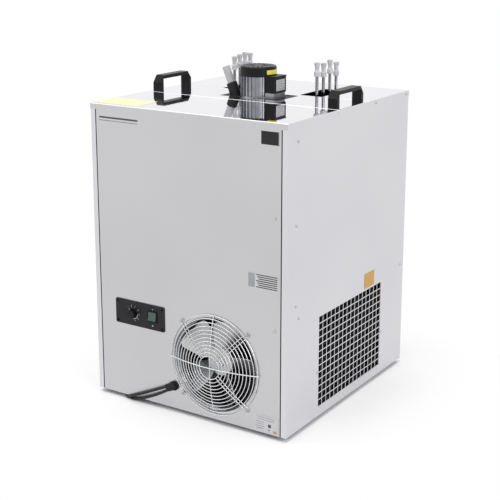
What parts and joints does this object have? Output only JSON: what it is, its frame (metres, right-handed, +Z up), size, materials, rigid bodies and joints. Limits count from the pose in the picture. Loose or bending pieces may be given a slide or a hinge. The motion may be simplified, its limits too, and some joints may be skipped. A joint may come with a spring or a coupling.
{
  "type": "under-counter beer cooler",
  "caption": "Box-shaped wet-bath beer cooler with a round fan guard, control plate, side grille, carry handles, top pump motor and upright beer line fittings.",
  "frame": {"origin": "on the floor, under the middle of the cabinet", "axes": "+Z up, -Y out of the front panel with the fan, +X to the side with the grille"},
  "size_m": [0.7951, 0.6315, 0.839],
  "materials": {
    "cabinet_steel": "satin, fine rolled finish",
    "polished_steel": "polished almost to a mirror",
    "galvanised_steel": "galvanised, dull",
    "steel_tube": "smooth",
    "zinc_steel": "zinc plated",
    "guard_wire": "bright plated wire",
    "cast_aluminium": "cast, matt",
    "blade_aluminium": "pressed sheet, satin",
    "copper": "drawn copper",
    "black_paint": "gloss black",
    "black_plastic": "moulded, fine grain",
    "grey_plastic": "moulded",
    "plate_enamel": "stoved paint, dull charcoal",
    "green_plastic": "clear tinted, lit",
    "foam": "closed cell foam",
    "black_rubber": "matt",
    "cord_rubber": "matt cable sheath"
  },
  "bodies": {
    "cabinet": {"right_side_panel": "cabinet_steel", "left_side_panel": "cabinet_steel", "front_panel": "cabinet_steel", "back_panel": "cabinet_steel", "base_tray": "galvanised_steel", "tank_deck": "galvanised_steel", "feet": "black_rubber", "panel_seals": "black_rubber", "cabinet_fasteners": "zinc_steel", "top_bridge": "polished_steel", "rear_cover": "polished_steel", "handles": "black_plastic", "side_grille": "polished_steel", "water_tank": "cabinet_steel", "tank_insulation": "foam", "beer_lines": "steel_tube", "line_fittings": "grey_plastic", "evaporator_coil": "copper", "coil_rails": "grey_plastic", "pump_plate": "black_paint", "pump_motor": "cast_aluminium", "motor_fan_cover": "black_paint", "shaft_bearings": "zinc_steel", "terminal_box": "black_plastic", "terminal_box_lid": "black_plastic", "motor_block": "cast_aluminium", "pump_column": "grey_plastic", "pump_bolts": "zinc_steel", "pump_volute": "grey_plastic", "outlet_pipe": "steel_tube", "outlet_sleeve": "black_rubber", "condenser_fins": "cast_aluminium", "condenser_tube": "copper", "compressor": "black_paint", "compressor_grommets": "black_rubber", "refrigerant_lines": "copper", "fan_shroud": "galvanised_steel", "fan_motor": "black_paint", "fan_motor_bracket": "zinc_steel", "fan_guard": "guard_wire", "fan_guard_bolts": "zinc_steel", "control_plate": "plate_enamel", "thermostat": "grey_plastic", "switch_housing": "black_plastic", "cable_gland": "black_rubber", "near_lead": "cord_rubber", "far_lead": "cord_rubber", "near_plug": "cord_rubber", "far_plug": "cord_rubber"},
    "fan_rotor": {"fan_impeller": "blade_aluminium", "fan_shaft": "zinc_steel"},
    "pump_rotor": {"pump_shaft": "steel_tube", "pump_impeller": "grey_plastic", "motor_fan": "black_plastic"},
    "knob": {"thermostat_knob": "black_plastic"},
    "rocker": {"switch_rocker": "green_plastic"},
    "lid": {"front_lid": "polished_steel"}
  },
  "joints": [
    {"name": "fan_spin", "type": "hinge", "parent": "cabinet", "child": "fan_rotor", "pos_m": [0.08, -0.276, 0.15], "axis": [0, -1, 0], "continuous": true},
    {"name": "pump_spin", "type": "hinge", "parent": "cabinet", "child": "pump_rotor", "pos_m": [0.005, 0.008, 0.7], "axis": [0, 0, 1], "continuous": true},
    {"name": "knob_turn", "type": "hinge", "parent": "cabinet", "child": "knob", "pos_m": [-0.1625, -0.304, 0.234], "axis": [0, -1, 0], "range_deg": [-135, 135]},
    {"name": "rocker_tilt", "type": "hinge", "parent": "cabinet", "child": "rocker", "pos_m": [-0.102, -0.303, 0.2365], "axis": [1, 0, 0], "range_deg": [0, 16]},
    {"name": "lid_lift", "type": "slide", "parent": "cabinet", "child": "lid", "axis": [0, 0, 1], "range_m": [0, 0.12]}
  ]
}
